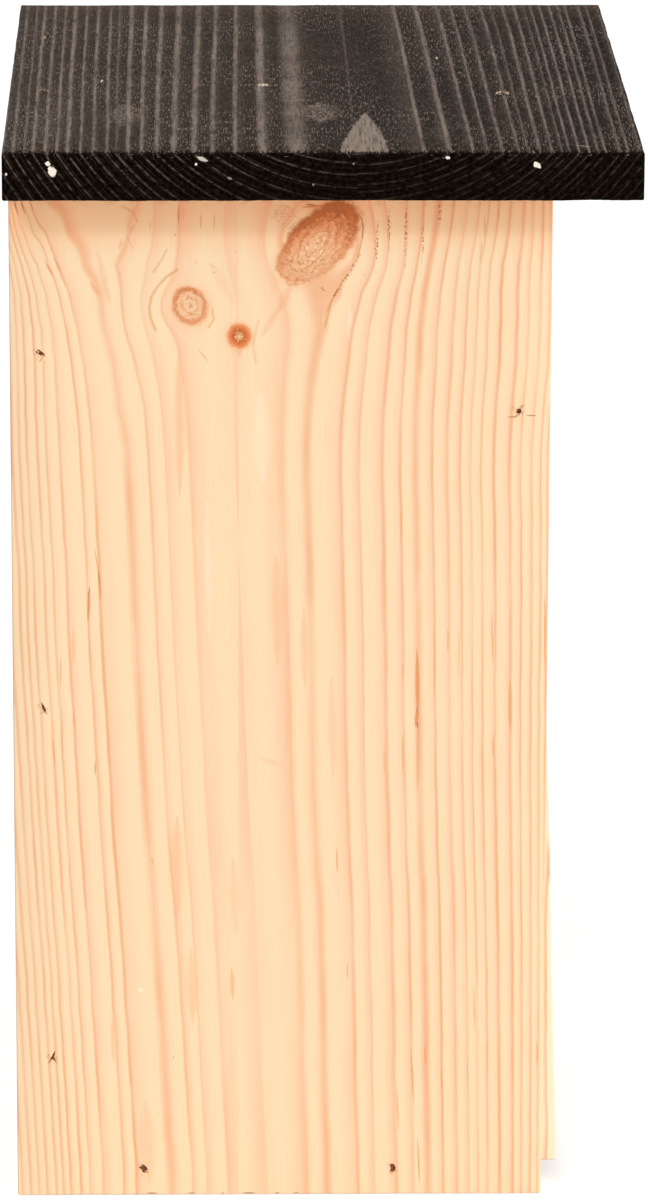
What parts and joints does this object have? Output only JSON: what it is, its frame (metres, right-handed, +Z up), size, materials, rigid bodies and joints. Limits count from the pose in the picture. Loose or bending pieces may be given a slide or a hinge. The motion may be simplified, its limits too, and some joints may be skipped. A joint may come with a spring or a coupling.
{
  "type": "bird nest box",
  "caption": "Wooden nest box with a flat dark overhanging roof, a round entrance in a top-pivoted front door, a bent hook catch and a keyhole hanging plate.",
  "frame": {"origin": "middle of the floor's underside, level with the bottom edges that the box stands on", "axes": "+Z up, -Y towards the door and its entrance hole, +X towards the side with the catch hook"},
  "size_m": [0.194, 0.1583, 0.277],
  "materials": {
    "pine": "planed, untreated",
    "stained_pine": "dark water-based stain over planed grain, black on the end grain",
    "zinc_steel": "zinc plated",
    "wire_steel": "bare wire, slightly rusted"
  },
  "bodies": {
    "box": {"left_side": "pine", "right_side": "pine", "back_board": "pine", "floor_board": "pine", "roof_board": "stained_pine", "front_rail": "pine", "hanger_plate": "zinc_steel", "hanger_screw_left": "zinc_steel", "hanger_screw_right": "zinc_steel", "left_back_brad_1": "wire_steel", "left_back_brad_2": "wire_steel", "left_back_brad_3": "wire_steel", "left_floor_brad_1": "wire_steel", "left_floor_brad_2": "wire_steel", "left_pivot_nail": "wire_steel", "right_back_brad_1": "wire_steel", "right_back_brad_2": "wire_steel", "right_back_brad_3": "wire_steel", "right_floor_brad_1": "wire_steel", "right_floor_brad_2": "wire_steel", "right_pivot_nail": "wire_steel", "roof_back_brad_1": "wire_steel", "roof_back_brad_2": "wire_steel", "roof_rail_brad": "wire_steel", "back_floor_brad_1": "wire_steel", "back_floor_brad_2": "wire_steel"},
    "door": {"front_door": "pine"},
    "catch": {"catch_hook": "zinc_steel"}
  },
  "joints": [
    {"name": "door_pivot", "type": "hinge", "parent": "box", "child": "door", "pos_m": [0, -0.0595, 0.2085], "axis": [-1, 0, 0], "range_deg": [-1.9, 142]},
    {"name": "catch_turn", "type": "hinge", "parent": "box", "child": "catch", "pos_m": [0.079, -0.0675, 0.04], "axis": [0, 1, 0], "range_deg": [0, 90]}
  ]
}
